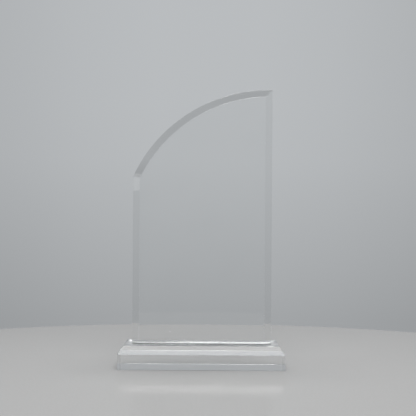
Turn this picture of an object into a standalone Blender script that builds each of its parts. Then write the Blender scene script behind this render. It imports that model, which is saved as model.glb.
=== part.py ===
# Arch-topped crystal award: a bevelled clear plaque bonded upright on a bevelled clear base.
# Metres, +Z up. The origin is the middle of the base's underside and the award faces -Y.

import math

import bmesh
import bpy
from mathutils import Matrix, Vector

# Plaque
PLAQUE_WIDTH = 0.110
PLAQUE_HEIGHT = 0.200          # foot to the tall right corner
SHOULDER_HEIGHT = 0.131        # foot to the low left corner
PLAQUE_THICKNESS = 0.015
ARCH_BULGE = 0.0193            # how far the arch stands above the straight line between its corners
ARCH_STEPS = 32
PLAQUE_BEVEL_WIDTH = 0.0057    # across the front face
PLAQUE_BEVEL_DEPTH = 0.0036    # into the thickness

# Base
SIDE_LEDGE = 0.010             # base beyond the plaque at each side
FRONT_LEDGE = 0.0175           # base beyond the plaque at front and back
BASE_HEIGHT = 0.018
BASE_BEVEL_WIDTH = 0.0046      # in from each side of the base
BASE_BEVEL_HEIGHT = 0.0064     # down from its top

# Bond between them
BOND_THICKNESS = 0.0003
BOND_MARGIN = 0.0005           # the film stops this far inside the edge of the foot
BOND_GAP = 0.0003              # above and below the film

# Polish
ARRIS = 0.0004                 # narrow flat where two polished faces meet
ARRIS_ANGLE = math.radians(20) # edges that turn less than this stay crisp

# Crystal and adhesive
CRYSTAL_COLOUR = (0.95, 0.97, 0.98)
CRYSTAL_ROUGHNESS = 0.02
CRYSTAL_INDEX = 1.5
ADHESIVE_COLOUR = (0.92, 0.94, 0.95)
ADHESIVE_ROUGHNESS = 0.35
ADHESIVE_INDEX = 1.48

# Sizes that follow from the ones above
BASE_WIDTH = PLAQUE_WIDTH + 2 * SIDE_LEDGE
BASE_DEPTH = PLAQUE_THICKNESS + 2 * FRONT_LEDGE
BOND_LEVEL = BASE_HEIGHT + BOND_GAP + BOND_THICKNESS / 2
FOOT_LEVEL = BASE_HEIGHT + BOND_THICKNESS + 2 * BOND_GAP
SAW_ALLOWANCE = 2 * PLAQUE_BEVEL_WIDTH   # blank left below the foot, sawn off after bevelling


def clear_scene():
    for thing in list(bpy.data.objects):
        bpy.data.objects.remove(thing, do_unlink=True)


def new_collection(name):
    collection = bpy.data.collections.new(name)
    bpy.context.scene.collection.children.link(collection)
    return collection


def clear_material(name, colour, roughness, index, transmission):
    material = bpy.data.materials.new(name)
    material.use_nodes = True
    shader = material.node_tree.nodes["Principled BSDF"]
    shader.inputs["Base Color"].default_value = (*colour, 1)
    shader.inputs["Roughness"].default_value = roughness
    shader.inputs["Metallic"].default_value = 0
    shader.inputs["IOR"].default_value = index
    shader.inputs["Transmission Weight"].default_value = transmission
    return material


def add_object(name, mesh, collection, matrix):
    thing = bpy.data.objects.new(name, mesh)
    collection.objects.link(thing)
    thing.matrix_world = matrix
    return thing


def box(name, size, centre, collection):
    mesh = bpy.data.meshes.new(name)
    shape = bmesh.new()
    bmesh.ops.create_cube(shape, size=1)
    bmesh.ops.scale(shape, vec=size, verts=shape.verts)
    shape.to_mesh(mesh)
    shape.free()
    return add_object(name, mesh, collection, Matrix.Translation(centre))


def slab(name, outline, thickness, collection, matrix):
    # A flat outline of (x, y) points, thickened evenly about its own plane into a closed mesh.
    curve = bpy.data.curves.new(name + "_outline", "CURVE")
    curve.dimensions = "2D"
    curve.fill_mode = "BOTH"
    curve.extrude = thickness / 2
    spline = curve.splines.new("POLY")
    spline.points.add(len(outline) - 1)
    for point, (x, y) in zip(spline.points, outline):
        point.co = (x, y, 0, 1)
    spline.use_cyclic_u = True
    guide = add_object(curve.name, curve, collection, Matrix.Identity(4))
    depsgraph = bpy.context.evaluated_depsgraph_get()
    mesh = bpy.data.meshes.new_from_object(guide.evaluated_get(depsgraph))
    bpy.data.objects.remove(guide, do_unlink=True)
    shape = bmesh.new()
    shape.from_mesh(mesh)
    bmesh.ops.remove_doubles(shape, verts=shape.verts, dist=0.00001)
    bmesh.ops.dissolve_limit(
        shape, angle_limit=math.radians(0.1), verts=shape.verts, edges=shape.edges)
    bmesh.ops.recalc_face_normals(shape, faces=shape.faces)
    shape.to_mesh(mesh)
    shape.free()
    return add_object(name, mesh, collection, matrix)


def bevel_rim(thing, width, height):
    # Raises the face that points along the object's own +Z and draws it in evenly, so its rim slopes.
    shape = bmesh.new()
    shape.from_mesh(thing.data)
    cap = max(shape.faces, key=lambda face: face.normal.z)
    bmesh.ops.inset_region(
        shape, faces=[cap], thickness=width, depth=height,
        use_boundary=True, use_even_offset=True)
    bmesh.ops.recalc_face_normals(shape, faces=shape.faces)
    shape.to_mesh(thing.data)
    shape.free()


def soften_arrises(thing):
    bevel = thing.modifiers.new("arris", "BEVEL")
    bevel.width = ARRIS
    bevel.segments = 1
    bevel.limit_method = "ANGLE"
    bevel.angle_limit = ARRIS_ANGLE


def plaque_outline(foot):
    # Anticlockwise from the lower left: foot, tall right side, arch, low left side.
    left = Vector((-PLAQUE_WIDTH / 2, SHOULDER_HEIGHT))
    right = Vector((PLAQUE_WIDTH / 2, PLAQUE_HEIGHT))
    chord = right - left
    radius = (chord.length_squared / 4 + ARCH_BULGE ** 2) / (2 * ARCH_BULGE)
    inwards = Vector((chord.y, -chord.x)).normalized()
    centre = (left + right) / 2 + inwards * (radius - ARCH_BULGE)
    start = math.atan2(right.y - centre.y, right.x - centre.x)
    end = math.atan2(left.y - centre.y, left.x - centre.x)
    points = [(left.x, foot), (right.x, foot)]
    for step in range(ARCH_STEPS + 1):
        angle = start + (end - start) * step / ARCH_STEPS
        points.append((centre.x + radius * math.cos(angle), centre.y + radius * math.sin(angle)))
    return points


def foot_outline(margin):
    # The plaque's section at its foot, drawn in by the margin: a bar with its front corners bevelled.
    side = PLAQUE_WIDTH / 2 - margin
    front = -PLAQUE_THICKNESS / 2 + margin
    back = PLAQUE_THICKNESS / 2 - margin
    # Both corners of the sloping face lie on: bevel depth * x - bevel width * y = reach
    reach = (
        PLAQUE_BEVEL_DEPTH * PLAQUE_WIDTH / 2
        + PLAQUE_BEVEL_WIDTH * (PLAQUE_THICKNESS / 2 - PLAQUE_BEVEL_DEPTH)
        - margin * math.hypot(PLAQUE_BEVEL_WIDTH, PLAQUE_BEVEL_DEPTH))
    slope_back = (PLAQUE_BEVEL_DEPTH * side - reach) / PLAQUE_BEVEL_WIDTH
    slope_front = (reach + PLAQUE_BEVEL_WIDTH * front) / PLAQUE_BEVEL_DEPTH
    return [
        (side, back), (-side, back), (-side, slope_back),
        (-slope_front, front), (slope_front, front), (side, slope_back)]


def make_base(parts):
    # A block with upright sides, its top raised and drawn in all round.
    side_height = BASE_HEIGHT - BASE_BEVEL_HEIGHT
    base = box("base", (BASE_WIDTH, BASE_DEPTH, side_height), (0, 0, side_height / 2), parts)
    bevel_rim(base, BASE_BEVEL_WIDTH, BASE_BEVEL_HEIGHT)
    soften_arrises(base)
    base.data.materials.append(
        clear_material("base_crystal", CRYSTAL_COLOUR, CRYSTAL_ROUGHNESS, CRYSTAL_INDEX, 1))


def make_bond_film(parts):
    # The cured adhesive, in the shape of the foot that it holds.
    film = slab(
        "bond_film", foot_outline(BOND_MARGIN), BOND_THICKNESS, parts,
        Matrix.Translation((0, 0, BOND_LEVEL)))
    film.data.materials.append(
        clear_material("cured_adhesive", ADHESIVE_COLOUR, ADHESIVE_ROUGHNESS, ADHESIVE_INDEX, 0.4))


def make_plaque(parts, cutters):
    # The blank stands upright with its bevelled side to the front, then its foot is sawn square.
    upright = Matrix.Rotation(math.radians(90), 4, "X")
    place = Matrix.Translation((0, PLAQUE_BEVEL_DEPTH / 2, FOOT_LEVEL))
    plaque = slab(
        "plaque", plaque_outline(-SAW_ALLOWANCE), PLAQUE_THICKNESS - PLAQUE_BEVEL_DEPTH, parts,
        place @ upright)
    bevel_rim(plaque, PLAQUE_BEVEL_WIDTH, PLAQUE_BEVEL_DEPTH)
    saw = box(
        "foot_saw", (2 * PLAQUE_WIDTH, 2 * PLAQUE_THICKNESS, 2 * SAW_ALLOWANCE),
        (0, 0, FOOT_LEVEL - SAW_ALLOWANCE), cutters)
    saw.hide_render = True
    saw.display_type = "WIRE"
    cut = plaque.modifiers.new("square_foot", "BOOLEAN")
    cut.operation = "DIFFERENCE"
    cut.solver = "EXACT"
    cut.object = saw
    soften_arrises(plaque)
    plaque.data.materials.append(
        clear_material("plaque_crystal", CRYSTAL_COLOUR, CRYSTAL_ROUGHNESS, CRYSTAL_INDEX, 1))


def main():
    clear_scene()
    parts = new_collection("crystal_award")
    cutters = new_collection("crystal_award_cutters")
    make_base(parts)
    make_bond_film(parts)
    make_plaque(parts, cutters)


main()
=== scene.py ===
import math

import bpy
import numpy as np
from mathutils import Matrix, Vector


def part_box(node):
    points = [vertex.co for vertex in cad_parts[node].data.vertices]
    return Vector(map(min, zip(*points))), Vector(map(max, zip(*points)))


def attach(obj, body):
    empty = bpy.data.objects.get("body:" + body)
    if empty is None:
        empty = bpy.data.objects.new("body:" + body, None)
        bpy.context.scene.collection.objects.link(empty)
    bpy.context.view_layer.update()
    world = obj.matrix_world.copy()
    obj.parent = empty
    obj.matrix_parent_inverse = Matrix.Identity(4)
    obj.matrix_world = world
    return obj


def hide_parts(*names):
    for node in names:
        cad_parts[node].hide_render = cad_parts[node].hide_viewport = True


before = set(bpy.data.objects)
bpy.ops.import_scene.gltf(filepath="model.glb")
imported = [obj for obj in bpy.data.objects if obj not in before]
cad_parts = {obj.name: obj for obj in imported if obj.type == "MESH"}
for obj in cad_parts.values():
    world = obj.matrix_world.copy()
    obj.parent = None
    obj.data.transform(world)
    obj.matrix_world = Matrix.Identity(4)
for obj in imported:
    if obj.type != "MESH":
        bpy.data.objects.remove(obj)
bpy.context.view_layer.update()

scene = bpy.context.scene
scene.view_settings.view_transform = "Standard"   # tones come out as they are set below
plaqueLow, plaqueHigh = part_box("plaque")
baseLow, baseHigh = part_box("base")


def ringsToPiece(name, rings, flat):
    # A stack of closed rings, an array of rings by points by 3. Each point is joined to the same point
    # of the next ring, so a quad's corners are (i, j), (i, j+1), (i+1, j+1), (i+1, j), where j runs
    # round and closes on itself, and one flat face closes each end of the stack.
    count, around = rings.shape[:2]
    level, point = np.meshgrid(np.arange(count - 1), np.arange(around), indexing="ij")
    after = (point + 1) % around
    corners = (level * around + point, level * around + after,
               (level + 1) * around + after, (level + 1) * around + point)
    quads = np.stack(corners, axis=-1).reshape(-1, 4).tolist()
    start = np.arange(around)[::-1].tolist()
    end = (np.arange(around) + (count - 1) * around).tolist()
    mesh = bpy.data.meshes.new(name)
    mesh.from_pydata(rings.reshape(-1, 3).tolist(), [], quads + [start, end])
    mesh.polygons.foreach_set("use_smooth", np.ones(len(mesh.polygons), dtype=bool))
    runMap(mesh, rings, flat)
    mesh.validate()
    piece = bpy.data.objects.new(name, mesh)
    scene.collection.objects.link(piece)
    return piece


def runMap(mesh, rings, flat):
    # A map in metres for the marks that follow the surface: u is the distance run along the ring,
    # v the mean distance from the first ring, and on the two ends it is the place in their own plane.
    closed = np.concatenate([rings, rings[:, :1]], axis=1)
    steps = np.linalg.norm(np.diff(closed, axis=1), axis=2)
    along = np.pad(np.cumsum(steps, axis=1), ((0, 0), (1, 0)))
    gaps = np.linalg.norm(np.diff(rings, axis=0), axis=2).mean(axis=1)
    across = np.broadcast_to(np.pad(np.cumsum(gaps), (1, 0))[:, None], along.shape)
    grid = np.stack([along, across], axis=-1)
    sides = np.stack([grid[:-1, :-1], grid[:-1, 1:], grid[1:, 1:], grid[1:, :-1]], axis=2)
    ends = np.concatenate([rings[0, ::-1], rings[-1]])[:, flat]
    places = np.concatenate([sides.reshape(-1, 2), ends])
    mesh.uv_layers.new(name="run").data.foreach_set("uv", places.astype(np.float32).ravel())


arris = {
    "segments": 3,
    "turn": 12,              # degrees, past which an edge is rounded off
    "flatWeight": 100,       # how firmly the flat faces keep their own normals, in percent
}


def softenEdges(piece, width, slot):
    # Every edge that turns by more than the angle becomes a small round arris with its own material
    # slot, and the flat faces keep their own straight normals, so they stay optically flat.
    bevel = piece.modifiers.new("arris", "BEVEL")
    bevel.width = width
    bevel.segments = arris["segments"]
    bevel.limit_method = "ANGLE"
    bevel.angle_limit = math.radians(arris["turn"])
    bevel.material = slot
    piece.modifiers.new("flatFaces", "WEIGHTED_NORMAL").weight = arris["flatWeight"]


# the order of the finishes on the two crystal pieces, then on the adhesive
faceSlot, bevelSlot, arrisSlot, undersideSlot = range(4)
filmSlot, filmEdgeSlot = range(2)


def setSlots(piece, slots):
    # One material slot number for each face, given as an array.
    piece.data.polygons.foreach_set("material_index", np.asarray(slots, dtype=np.int32))


print("plaque")
plaque = {
    "shoulder": 0.131,       # foot to the low left corner
    "archBulge": 0.0193,     # arch above the straight line between its corners
    "archSteps": 160,
    "bevelWidth": 0.0057,
    "bevelDepth": 0.0036,
    "arris": 0.00025,
    "standsOn": 0.00035,     # adhesive between the base and the foot
}
plaqueFoot = baseHigh.z + plaque["standsOn"]


def archCircle(left, right, low, high, bulge):
    # Circle through the arch's two corners whose top stands the bulge above the line between them:
    # radius = (chord^2 / 4 + bulge^2) / (2 * bulge), centre one radius below the top of the bulge.
    chordX, chordZ = right - left, high - low
    chord = math.hypot(chordX, chordZ)
    radius = (chord * chord / 4 + bulge * bulge) / (2 * bulge)
    back = radius - bulge
    return (left + right) / 2 + chordZ / chord * back, (low + high) / 2 - chordX / chord * back, radius


def plaqueRings(insets, depths, steps):
    # The outline drawn in by each inset: its upright sides move in by it, and the arch keeps its centre
    # while its radius shrinks by it, x = centre + radius * cos(angle), z = centre + radius * sin(angle).
    # The foot stays where it is. One ring for each depth.
    left, right = plaqueLow.x, plaqueHigh.x
    centreX, centreZ, radius = archCircle(
        left, right, plaqueLow.z + plaque["shoulder"], plaqueHigh.z, plaque["archBulge"])
    inset = np.array(insets)[:, None]
    leftIn, rightIn, radiusIn = left + inset, right - inset, radius - inset
    start = np.arccos((rightIn - centreX) / radiusIn)
    end = np.arccos((leftIn - centreX) / radiusIn)
    angle = start + (end - start) * np.linspace(0, 1, steps + 1)[None, :]
    x = np.concatenate([leftIn, rightIn, centreX + radiusIn * np.cos(angle)], axis=1)
    foot = np.full_like(inset, plaqueFoot)
    z = np.concatenate([foot, foot, centreZ + radiusIn * np.sin(angle)], axis=1)
    y = np.broadcast_to(np.array(depths)[:, None], x.shape)
    return np.stack([x, y, z], axis=-1)


def makePlaque():
    # Back outline, the outline where the bevel begins, and the smaller outline of the front face.
    back, front = plaqueHigh.y, plaqueLow.y
    rings = plaqueRings(
        [0, 0, plaque["bevelWidth"]], [back, front + plaque["bevelDepth"], front],
        plaque["archSteps"])
    piece = ringsToPiece("clearPlaque", rings, [0, 2])
    around = rings.shape[1]
    setSlots(piece, [faceSlot] * around + [bevelSlot] * around + [faceSlot, faceSlot])
    softenEdges(piece, plaque["arris"], arrisSlot)
    return piece


print("base")
base = {
    "bevelWidth": 0.0046,
    "bevelHeight": 0.0064,
    "arris": 0.00008,
}


def boxRings(insets, heights, low, high):
    # A rectangle drawn in by each inset, one ring for each height, anticlockwise seen from above.
    inset = np.array(insets)[:, None]
    left, right = low.x + inset, high.x - inset
    front, back = low.y + inset, high.y - inset
    x = np.concatenate([left, right, right, left], axis=1)
    y = np.concatenate([front, front, back, back], axis=1)
    z = np.broadcast_to(np.array(heights)[:, None], x.shape)
    return np.stack([x, y, z], axis=-1)


def makeBase():
    # Upright sides, then the bevel up to the flat top that the plaque stands on.
    rings = boxRings(
        [0, 0, base["bevelWidth"]],
        [baseLow.z, baseHigh.z - base["bevelHeight"], baseHigh.z], baseLow, baseHigh)
    piece = ringsToPiece("clearBase", rings, [0, 1])
    around = rings.shape[1]
    setSlots(piece, [faceSlot] * around + [bevelSlot] * around + [undersideSlot, faceSlot])
    softenEdges(piece, base["arris"], arrisSlot)
    return piece


print("joint")
joint = {
    "recess": 0.00022,       # from the foot's edge in to the adhesive, at the least
    "uneven": 0.00025,       # how much further in the adhesive stops where it ran short
    "waves": (23, 61),       # slow and quick waves round the edge
    "pointsPerSide": 120,
    "sunk": 0.00002,         # into the crystal above and below, so that no air shows between
}


def footCorners(inset):
    # The foot's section drawn in evenly: a bar whose two front corners are cut off by the bevels, each
    # along the line where depth * x - width * y = reach.
    side = plaqueHigh.x - inset
    front, back = plaqueLow.y + inset, plaqueHigh.y - inset
    width, depth = plaque["bevelWidth"], plaque["bevelDepth"]
    reach = depth * plaqueHigh.x - width * (plaqueLow.y + depth) - inset * math.hypot(width, depth)
    cutBack, cutFront = (depth * side - reach) / width, (reach + width * front) / depth
    x = [side, side, -side, -side, -cutFront, cutFront]
    y = [cutBack, back, back, cutBack, front, front]
    return np.array([x, y]).T


def alongSides(corners, points):
    # Evenly spaced points on each side of a closed outline: corner + share * (next corner - corner).
    share = np.linspace(0, 1, points, endpoint=False)[None, :, None]
    start, end = corners[:, None, :], np.roll(corners, -1, axis=0)[:, None, :]
    return (start + share * (end - start)).reshape(-1, 2)


def makeJoint():
    # The edge wanders between two outlines, one further in than the other, by two sine waves that
    # close on themselves: share = 1/2 + sin(slow * turn) / 4 + sin(quick * turn) / 4.
    points = joint["pointsPerSide"]
    outer = alongSides(footCorners(joint["recess"]), points)
    inner = alongSides(footCorners(joint["recess"] + joint["uneven"]), points)
    turn = np.linspace(0, 2 * np.pi, len(outer), endpoint=False)
    slow, quick = joint["waves"]
    share = 0.5 + np.sin(slow * turn) / 4 + np.sin(quick * turn) / 4
    outline = outer + share[:, None] * (inner - outer)
    rings = np.stack([
        np.column_stack([outline, np.full(len(outline), height)])
        for height in (baseHigh.z - joint["sunk"], plaqueFoot + joint["sunk"])])
    piece = ringsToPiece("adhesiveBond", rings, [0, 1])
    setSlots(piece, [filmEdgeSlot] * len(outline) + [filmSlot, filmSlot])
    return piece


print("shared effects")


def addNode(tree, kind, inputs=None, **settings):
    # Adds a node, sets its settings, then each input by name or number: a socket is linked to it,
    # and anything else becomes its plain value.
    node = tree.nodes.new(kind)
    for key, value in settings.items():
        setattr(node, key, value)
    for key, value in (inputs or {}).items():
        if isinstance(value, bpy.types.NodeSocket):
            tree.links.new(value, node.inputs[key])
        else:
            node.inputs[key].default_value = value
    return node


def combine(tree, operation, a, b):
    # One sum of two numbers, either of them a socket.
    return addNode(tree, "ShaderNodeMath", {0: a, 1: b}, operation=operation).outputs[0]


def between(tree, value, low, high, fromLow=0.0, fromHigh=1.0):
    # Straight line from low to high while the value goes from fromLow to fromHigh, held at both ends.
    return addNode(tree, "ShaderNodeMapRange", {
        "Value": value, "From Min": fromLow, "From Max": fromHigh, "To Min": low, "To Max": high}).outputs[0]


def blend(tree, mask, first, second):
    # Colour from first to second as the mask goes from 0 to 1.
    return addNode(tree, "ShaderNodeMix", {
        0: mask, 6: (*first, 1), 7: (*second, 1)}, data_type="RGBA").outputs[2]


def newGroup(name, numbers, results):
    # An empty group that takes a place in metres and the named numbers, and gives the named results
    # once its end is linked.
    group = bpy.data.node_groups.new(name, "ShaderNodeTree")
    group.interface.new_socket("Place", in_out="INPUT", socket_type="NodeSocketVector")
    for label in numbers:
        group.interface.new_socket(label, in_out="INPUT", socket_type="NodeSocketFloat")
    for label in results:
        group.interface.new_socket(label, in_out="OUTPUT", socket_type="NodeSocketFloat")
    return group, group.nodes.new("NodeGroupInput").outputs, group.nodes.new("NodeGroupOutput")


def finishGroup(group, end, results):
    # Links each named result to the group's end.
    for label, socket in results.items():
        group.links.new(socket, end.inputs[label])
    return group


def useGroup(tree, group, place, **numbers):
    # Places a shared effect, with its numbers by name.
    inputs = {label[0].upper() + label[1:]: value for label, value in numbers.items()}
    return addNode(tree, "ShaderNodeGroup", {"Place": place, **inputs}, node_tree=group).outputs


effects = {
    # noise up to the first number leaves the surface clean, and past the second marks it fully
    "lines": (0.6, 0.72), "lineDetail": 3.0,
    "haze": (0.48, 0.72), "hazeDetail": 4.0, "hazeSwirl": 0.5,
    "speckCore": 0.6,        # share of a speck that is fully covered
    "chipFade": 0.08, "chipDetail": 2.0,
}


def makePolishMarks():
    # Lines left by the wheel: noise that is read slowly along and quickly across,
    # place = (along / length, across / spacing). The mask keeps only the strongest lines.
    group, given, end = newGroup("polishMarks", ["Length", "Spacing"], ["Height", "Mask"])
    split = addNode(group, "ShaderNodeSeparateXYZ", {0: given["Place"]})
    along = combine(group, "DIVIDE", split.outputs[0], given["Length"])
    across = combine(group, "DIVIDE", split.outputs[1], given["Spacing"])
    place = addNode(group, "ShaderNodeCombineXYZ", {0: along, 1: across})
    noise = addNode(group, "ShaderNodeTexNoise", {
        0: place.outputs[0], "Scale": 1.0, "Detail": effects["lineDetail"]}).outputs[0]
    marked = between(group, noise, 0, 1, *effects["lines"])
    return finishGroup(group, end, {"Height": noise, "Mask": marked})


def makeHaze():
    # Slow cloudy patches, such as wiped finger marks: soft noise of the given size, cut off below
    # its middle.
    group, given, end = newGroup("haze", ["Size"], ["Height", "Mask"])
    scale = combine(group, "DIVIDE", 1.0, given["Size"])
    noise = addNode(group, "ShaderNodeTexNoise", {
        0: given["Place"], "Scale": scale, "Detail": effects["hazeDetail"],
        "Distortion": effects["hazeSwirl"]}).outputs[0]
    clouded = between(group, noise, 0, 1, *effects["haze"])
    return finishGroup(group, end, {"Height": noise, "Mask": clouded})


def makeSpecks():
    # Small round specks, one at most in each cell of the spacing: a speck covers the places nearer to
    # the cell's point than share * the cell's own random number, squared so that few are large.
    group, given, end = newGroup("specks", ["Spacing", "Share"], ["Mask"])
    scale = combine(group, "DIVIDE", 1.0, given["Spacing"])
    cells = addNode(group, "ShaderNodeTexVoronoi", {0: given["Place"], "Scale": scale})
    chance = addNode(group, "ShaderNodeSeparateColor", {0: cells.outputs["Color"]}).outputs[0]
    reach = combine(group, "MULTIPLY", combine(group, "MULTIPLY", chance, chance), given["Share"])
    core = combine(group, "MULTIPLY", reach, effects["speckCore"])
    inside = between(group, cells.outputs["Distance"], 1, 0, core, reach)
    return finishGroup(group, end, {"Mask": inside})


def makeChips():
    # Tiny nicks along an edge: quick noise above the given level counts as chipped, and sinks in.
    group, given, end = newGroup("chips", ["Size", "Level"], ["Height", "Mask"])
    scale = combine(group, "DIVIDE", 1.0, given["Size"])
    noise = addNode(group, "ShaderNodeTexNoise", {
        0: given["Place"], "Scale": scale, "Detail": effects["chipDetail"]}).outputs[0]
    full = combine(group, "ADD", given["Level"], effects["chipFade"])
    chipped = between(group, noise, 0, 1, given["Level"], full)
    return finishGroup(group, end, {"Height": combine(group, "SUBTRACT", 1.0, chipped), "Mask": chipped})


polishMarks = makePolishMarks()
haze = makeHaze()
specks = makeSpecks()
chips = makeChips()


print("finishes")


def newTree(owner):
    # The owner's node tree, emptied.
    owner.use_nodes = True
    owner.node_tree.nodes.clear()
    return owner.node_tree


def newMaterial(name):
    # A material and its empty node tree.
    material = bpy.data.materials.new(name)
    return material, newTree(material)


def placeOnObject(tree):
    # Places in metres from the middle of the base's underside, where every piece has its origin.
    return addNode(tree, "ShaderNodeTexCoord").outputs["Object"]


def placeOnRun(tree, turn=0.0):
    # The piece's own map, turned so that marks can run at an angle.
    run = addNode(tree, "ShaderNodeUVMap", uv_map="run").outputs[0]
    return addNode(tree, "ShaderNodeMapping", {
        "Vector": run, "Rotation": (0, 0, math.radians(turn))}).outputs[0]


def raised(tree, height, distance):
    # The height goes from 0 to 1 and the distance is how deep that is in metres.
    return addNode(tree, "ShaderNodeBump", {"Height": height, "Distance": distance}).outputs[0]


def finishMaterial(tree, inputs):
    # One shader with the given inputs covers the surface.
    shader = addNode(tree, "ShaderNodeBsdfPrincipled", inputs)
    addNode(tree, "ShaderNodeOutputMaterial", {"Surface": shader.outputs[0]})


crystal = {
    "index": 1.5,
    "clear": (0.992, 0.996, 0.996),
    "hazy": (0.978, 0.984, 0.984),
    "chipped": (0.93, 0.94, 0.94),
    "dust": 0.35,            # roughness of a speck of dust
}


def crystalShader(tree, colour, roughness, normal):
    # Solid clear crystal, which bends light by its index.
    finishMaterial(tree, {
        "Base Color": colour, "Roughness": roughness, "Normal": normal,
        "IOR": crystal["index"], "Transmission Weight": 1.0})


face = {
    "hazeSize": 0.032,
    "hazed": 0.018,          # roughness under a wiped finger mark
    "length": 0.035, "spacing": 0.0006, "turn": 24, "scratched": 0.045,
    "dustSpacing": 0.005, "dustShare": 0.05,
    "waveShare": 0.7, "lineShare": 0.3, "depth": 1.5e-6,
}


def polishedCrystal():
    # Flat polished faces: clear, with wiped haze, sparse hairlines at an angle, dust, and a slow wave
    # in the surface under the lines, height = waveShare * wave + lineShare * lines.
    material, tree = newMaterial("polishedCrystal")
    place = placeOnObject(tree)
    cloud = useGroup(tree, haze, place, size=face["hazeSize"])
    lines = useGroup(tree, polishMarks, placeOnRun(tree, face["turn"]),
                     length=face["length"], spacing=face["spacing"])
    dust = useGroup(tree, specks, place, spacing=face["dustSpacing"], share=face["dustShare"])
    thinned = combine(tree, "MULTIPLY", lines["Mask"], cloud["Mask"])
    roughness = combine(tree, "MAXIMUM", between(tree, cloud["Mask"], 0, face["hazed"]),
                        between(tree, thinned, 0, face["scratched"]))
    dusty = combine(tree, "MAXIMUM", roughness, between(tree, dust["Mask"], 0, crystal["dust"]))
    height = combine(tree, "ADD", combine(tree, "MULTIPLY", cloud["Height"], face["waveShare"]),
                     combine(tree, "MULTIPLY", lines["Height"], face["lineShare"]))
    colour = blend(tree, cloud["Mask"], crystal["clear"], crystal["hazy"])
    crystalShader(tree, colour, dusty, raised(tree, height, face["depth"]))
    return material


cut = {
    "length": 0.016, "spacing": 0.00035, "scratched": 0.05,
    "hazeSize": 0.012, "hazed": 0.012,
    "depth": 6e-7,
}


def cutBevel():
    # Ground and polished bevels: fine lines that follow the edge, and a little haze between them.
    material, tree = newMaterial("cutBevel")
    cloud = useGroup(tree, haze, placeOnObject(tree), size=cut["hazeSize"])
    lines = useGroup(tree, polishMarks, placeOnRun(tree), length=cut["length"], spacing=cut["spacing"])
    roughness = combine(tree, "MAXIMUM", between(tree, cloud["Mask"], 0, cut["hazed"]),
                        between(tree, lines["Mask"], 0, cut["scratched"]))
    colour = blend(tree, lines["Mask"], crystal["clear"], crystal["hazy"])
    crystalShader(tree, colour, roughness, raised(tree, lines["Height"], cut["depth"]))
    return material


edge = {
    "chipSize": 0.0009, "chipLevel": 0.6,
    "clean": 0.18, "worn": 0.42,
    "length": 0.008, "spacing": 0.00012, "lined": 0.3,
    "depth": 1.2e-5,
}


def softArris():
    # The narrow rounded edges: satin, lined along the edge, with tiny nicks.
    material, tree = newMaterial("softArris")
    nicks = useGroup(tree, chips, placeOnObject(tree), size=edge["chipSize"], level=edge["chipLevel"])
    lines = useGroup(tree, polishMarks, placeOnRun(tree), length=edge["length"], spacing=edge["spacing"])
    roughness = combine(tree, "MAXIMUM", between(tree, lines["Mask"], edge["clean"], edge["lined"]),
                        between(tree, nicks["Mask"], 0, edge["worn"]))
    colour = blend(tree, nicks["Mask"], crystal["hazy"], crystal["chipped"])
    crystalShader(tree, colour, roughness, raised(tree, nicks["Height"], edge["depth"]))
    return material


underside = {
    "length": 0.022, "spacing": 0.0007, "turns": (17, -38), "scratched": 0.3,
    "clean": 0.05, "hazeSize": 0.018, "hazed": 0.12,
    "dustSpacing": 0.003, "dustShare": 0.12,
    "depth": 3e-6,
}


def scuffedUnderside():
    # What the base stands on: two sets of crossed scratches, rubbed patches and dust.
    material, tree = newMaterial("scuffedUnderside")
    place = placeOnObject(tree)
    first, second = [useGroup(tree, polishMarks, placeOnRun(tree, turn), length=underside["length"],
                              spacing=underside["spacing"]) for turn in underside["turns"]]
    scratches = combine(tree, "MAXIMUM", first["Mask"], second["Mask"])
    rubbed = useGroup(tree, haze, place, size=underside["hazeSize"])
    dust = useGroup(tree, specks, place, spacing=underside["dustSpacing"], share=underside["dustShare"])
    marked = combine(tree, "MAXIMUM", scratches, dust["Mask"])
    worn = between(tree, rubbed["Mask"], underside["clean"], underside["hazed"])
    roughness = combine(tree, "MAXIMUM", worn, between(tree, marked, 0, underside["scratched"]))
    colour = blend(tree, marked, crystal["hazy"], crystal["chipped"])
    normal = raised(tree, first["Height"], underside["depth"])
    crystalShader(tree, colour, roughness, normal)
    return material


adhesive = {
    "white": (0.955, 0.955, 0.96), "thin": (0.88, 0.885, 0.9),
    "patchSize": 0.007, "patchShare": 0.5, "bubbleSpacing": 0.0022, "bubbleShare": 0.3,
    "set": 0.35, "bubbled": 0.6,
    "depth": 1e-5,
    # the near-black edge colours are painted shade: they darken the joint's outer edge to stand for the
    # shadowed gap at the rim
    "edgePaintedShade": (0.018, 0.018, 0.02), "edgePale": (0.06, 0.06, 0.064),
    "edgeSize": 0.0012, "edgeLevel": 0.56, "edgeDepth": 2e-5,
}


def curedAdhesive():
    # The milky layer under the foot: thicker and thinner patches, and small bubbles.
    material, tree = newMaterial("curedAdhesive")
    place = placeOnObject(tree)
    patches = useGroup(tree, haze, place, size=adhesive["patchSize"])
    bubbles = useGroup(tree, specks, place, spacing=adhesive["bubbleSpacing"], share=adhesive["bubbleShare"])
    thinned = combine(tree, "MULTIPLY", patches["Mask"], adhesive["patchShare"])
    thin = combine(tree, "MAXIMUM", thinned, bubbles["Mask"])
    finishMaterial(tree, {
        "Base Color": blend(tree, thin, adhesive["white"], adhesive["thin"]),
        "Roughness": between(tree, bubbles["Mask"], adhesive["set"], adhesive["bubbled"]),
        "Specular IOR Level": 0.0,
        "Normal": raised(tree, combine(tree, "SUBTRACT", 1.0, thin), adhesive["depth"])})
    return material


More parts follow.
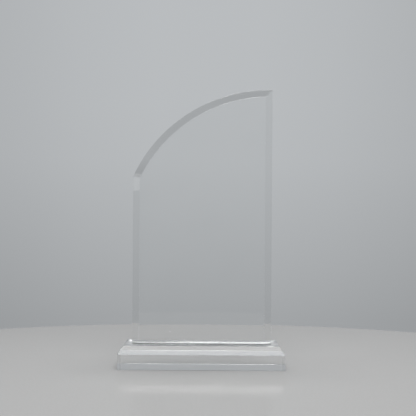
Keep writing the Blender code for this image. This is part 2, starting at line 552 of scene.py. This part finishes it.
def paintedShadeJointEdge():
    # The joint's narrow outer edge, coloured near-black as painted shade for the dark gap at the rim, with
    # paler spots where the adhesive reaches the air.
    material, tree = newMaterial("paintedShadeJointEdge")
    spots = useGroup(tree, chips, placeOnObject(tree), size=adhesive["edgeSize"], level=adhesive["edgeLevel"])
    finishMaterial(tree, {
        "Base Color": blend(tree, spots["Mask"], adhesive["edgePaintedShade"], adhesive["edgePale"]),
        "Roughness": between(tree, spots["Mask"], adhesive["set"], adhesive["bubbled"]),
        "Specular IOR Level": 0.0,
        "Normal": raised(tree, spots["Height"], adhesive["edgeDepth"])})
    return material


print("assembly")
plaquePiece = makePlaque()
basePiece = makeBase()
jointPiece = makeJoint()
clearFinishes = [polishedCrystal(), cutBevel(), softArris()]
for piece, node, slotName, finishes in (
        (plaquePiece, "plaque", "plaque_crystal", clearFinishes),
        (basePiece, "base", "base_crystal", clearFinishes + [scuffedUnderside()]),
        (jointPiece, "bond_film", "cured_adhesive", [curedAdhesive(), paintedShadeJointEdge()])):
    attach(piece, "root")
    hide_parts(node)
    for finish in finishes:
        piece.data.materials.append(finish)


print("table")
table = {
    "radius": 0.377,
    "centreY": -0.07,
    "thickness": 0.02,
    "below": 0.0002,         # hair gap under the base
    "rim": 0.002,
    "steps": 256,
    "colour": (0.276, 0.276, 0.274),
    "fleck": (0.284, 0.284, 0.282), "fleckSize": 0.0016, "fleckLevel": 0.46,
    "matte": 0.6,
    "gloss": 0.38,           # share of the surface that is glossy
    "clean": 0.085, "wiped": 0.105, "wipeSize": 0.06,
    "depth": 2e-6,
}


def makeTable():
    # One circle for each height of a flat disc: x = radius * cos(turn), y = radius * sin(turn).
    turn = np.linspace(0, 2 * np.pi, table["steps"], endpoint=False)[None, :]
    height = np.array([-table["below"] - table["thickness"], -table["below"]])[:, None]
    x = np.repeat(table["radius"] * np.cos(turn), 2, axis=0)
    y = np.repeat(table["radius"] * np.sin(turn) + table["centreY"], 2, axis=0)
    z = np.broadcast_to(height, x.shape)
    piece = ringsToPiece("tableTop", np.stack([x, y, z], axis=-1), [0, 1])
    softenEdges(piece, table["rim"], faceSlot)
    piece.data.materials.append(tableMaterial())


def tableMaterial():
    # Pale laminate: a faint fleck in its colour, and wiped patches in its gloss.
    material, tree = newMaterial("paleLaminate")
    place = placeOnObject(tree)
    flecks = useGroup(tree, chips, place, size=table["fleckSize"], level=table["fleckLevel"])
    wiped = useGroup(tree, haze, place, size=table["wipeSize"])
    colour = blend(tree, flecks["Mask"], table["colour"], table["fleck"])
    matte = addNode(tree, "ShaderNodeBsdfPrincipled", {
        "Base Color": colour, "Roughness": table["matte"], "Specular IOR Level": 0.0})
    glossy = addNode(tree, "ShaderNodeBsdfPrincipled", {
        "Base Color": colour, "Roughness": between(tree, wiped["Mask"], table["clean"], table["wiped"]),
        "Normal": raised(tree, flecks["Height"], table["depth"])})
    both = addNode(tree, "ShaderNodeMixShader", {
        0: table["gloss"], 1: matte.outputs[0], 2: glossy.outputs[0]})
    addNode(tree, "ShaderNodeOutputMaterial", {"Surface": both.outputs[0]})
    return material


makeTable()


print("studio")
studio = {
    # sine of the elevation, then the room's brightness there
    "room": [(-1, 0.34), (-0.22, 0.38), (-0.2, 0.385), (-0.159, 0.40), (-0.124, 0.40), (-0.108, 0.372),
             (-0.09, 0.39), (-0.035, 0.432), (0.017, 0.468), (0.045, 0.488), (0.1, 0.5), (0.185, 0.505),
             (0.45, 0.47), (0.8, 0.6), (1, 0.8)],
    # the same for what the polished faces mirror from in front: dark flags low down, pale cards above
    "flagged": [(-1, 0.12), (0, 0.12), (0.3, 0.16), (0.42, 0.6), (0.53, 1.1), (0.73, 0.62), (0.86, 0.66),
                (0.94, 0.24), (1, 0.5)],
    # sine of the angle aside, then the share of brightness left there
    "aside": [(0, 1), (0.05, 1), (0.12, 0.965), (0.19, 0.9), (0.25, 0.955), (1, 0.955)],
    "nearFade": 0.35,        # sine of the angle from the award's own plane over which they come in
    "tint": (0.965, 1.0, 1.03),
    "matteShare": 0.1,       # of the room's light, for matte surfaces
    "insideShare": 0.8,      # of the room's light, after a mirroring inside the crystal
    "bounces": 24,           # light goes back and forth between the crystal's faces many times
}


def greyRamp(tree, value, stops, low, high):
    # Straight pieces between grey stops, read along low to high.
    place = addNode(tree, "ShaderNodeMapRange", {"Value": value, "From Min": low, "From Max": high})
    ramp = addNode(tree, "ShaderNodeValToRGB", {"Fac": place.outputs[0]})
    elements = ramp.color_ramp.elements
    while len(elements) > 1:
        elements.remove(elements[-1])
    for index, (height, level) in enumerate(stops):
        position = (height - low) / (high - low)
        element = elements[0] if index == 0 else elements.new(position)
        element.position = position
        element.color = (level, level, level, 1)
    return ramp.outputs["Color"]


def multiply(tree, a, b):
    # Colour times colour.
    return addNode(tree, "ShaderNodeMix", {0: 1.0, 6: a, 7: b}, data_type="RGBA",
                   blend_type="MULTIPLY").outputs[2]


def makeWorld():
    # Light from each direction = (room * aside, or flagged where it is mirrored from in front) * tint,
    # times the matte and inside shares where they hold.
    world = bpy.data.worlds.new("studio")
    scene.world = world
    tree = newTree(world)
    direction = addNode(tree, "ShaderNodeTexCoord").outputs["Generated"]
    split = addNode(tree, "ShaderNodeSeparateXYZ", {0: direction})
    aside = addNode(tree, "ShaderNodeMath", {0: split.outputs["X"]}, operation="ABSOLUTE").outputs[0]
    room = multiply(tree, greyRamp(tree, split.outputs["Z"], studio["room"], -1, 1),
                    greyRamp(tree, aside, studio["aside"], 0, 1))
    flagged = greyRamp(tree, split.outputs["Z"], studio["flagged"], -1, 1)
    # the flags and cards stand on the near side, and only the mirror-like faces see them
    near = addNode(tree, "ShaderNodeMapRange", {
        "Value": split.outputs["Y"], "From Min": studio["nearFade"], "From Max": -studio["nearFade"]},
        interpolation_type="SMOOTHSTEP").outputs[0]
    rays = addNode(tree, "ShaderNodeLightPath").outputs
    mirrored = combine(tree, "MULTIPLY", rays["Is Reflection Ray"], rays["Is Glossy Ray"])
    share = combine(tree, "MULTIPLY", near, mirrored)
    both = addNode(tree, "ShaderNodeMix", {0: share, 6: room, 7: flagged}, data_type="RGBA").outputs[2]
    # matte surfaces are lit mostly by the softboxes, so they take only a share of the room's light
    clear = combine(tree, "MAXIMUM", rays["Is Camera Ray"], rays["Is Transmission Ray"])
    seen = combine(tree, "MAXIMUM", clear, rays["Is Glossy Ray"])
    strength = between(tree, seen, studio["matteShare"], 1)
    # light that has been mirrored inside the crystal on its way comes back a little weaker
    inside = addNode(tree, "ShaderNodeMath", {0: rays["Glossy Depth"], 1: rays["Is Transmission Ray"]},
                     operation="MULTIPLY", use_clamp=True).outputs[0]
    kept = between(tree, inside, 1, studio["insideShare"])
    light = addNode(tree, "ShaderNodeBackground", {
        "Color": multiply(tree, both, (*studio["tint"], 1)),
        "Strength": combine(tree, "MULTIPLY", strength, kept)})
    addNode(tree, "ShaderNodeOutputWorld", {"Surface": light.outputs[0]})


makeWorld()
scene.cycles.max_bounces = studio["bounces"]
scene.cycles.glossy_bounces = studio["bounces"]
scene.cycles.transmission_bounces = studio["bounces"]


softboxes = {
    "frontSoftbox": {
        "size": (0.9, 0.8), "place": (0.05, -0.84, 0.96), "aim": (0, -0.023, 0.015),
        "level": 5.0},
    "overheadPanel": {
        "size": (0.8, 0.64), "place": (0.06, 0.05, 1.1), "aim": (0.06, 0.05, 0),
        "level": 9.5},
    "leftPanel": {
        "size": (0.35, 0.3), "place": (-0.645, -0.275, 0.299), "aim": (0, 0, 0.299),
        "level": 1.42},
}


def makeSoftbox(name, box):
    # A flat lamp: its power is the wanted brightness times pi times its area. The camera never sees
    # it, but the polished faces and the table mirror it.
    data = bpy.data.lights.new(name, "AREA")
    data.shape = "RECTANGLE"
    data.size, data.size_y = box["size"]
    data.energy = box["level"] * math.pi * box["size"][0] * box["size"][1]
    lamp = bpy.data.objects.new(name, data)
    scene.collection.objects.link(lamp)
    lamp.location = box["place"]
    lamp.rotation_mode = "QUATERNION"
    lamp.rotation_quaternion = (Vector(box["aim"]) - Vector(box["place"])).to_track_quat("-Z", "Y")
    lamp.visible_camera = False


for name, box in softboxes.items():
    makeSoftbox(name, box)


print("camera")
camera = {
    "place": (0.0044, -0.843, 0.1252),
    "lens": 91.8,
    "sensor": 36,
    "roll": 0.4,
    "nearest": 0.01,
}


def makeCamera():
    # Level, looking along +Y, turned by the roll about its own axis.
    data = bpy.data.cameras.new("camera")
    data.lens = camera["lens"]
    data.sensor_width = camera["sensor"]
    data.clip_start = camera["nearest"]
    item = bpy.data.objects.new("camera", data)
    scene.collection.objects.link(item)
    item.location = camera["place"]
    level = Matrix.Rotation(math.radians(90), 4, "X")
    item.rotation_euler = (level @ Matrix.Rotation(math.radians(camera["roll"]), 4, "Z")).to_euler()
    scene.camera = item


makeCamera()
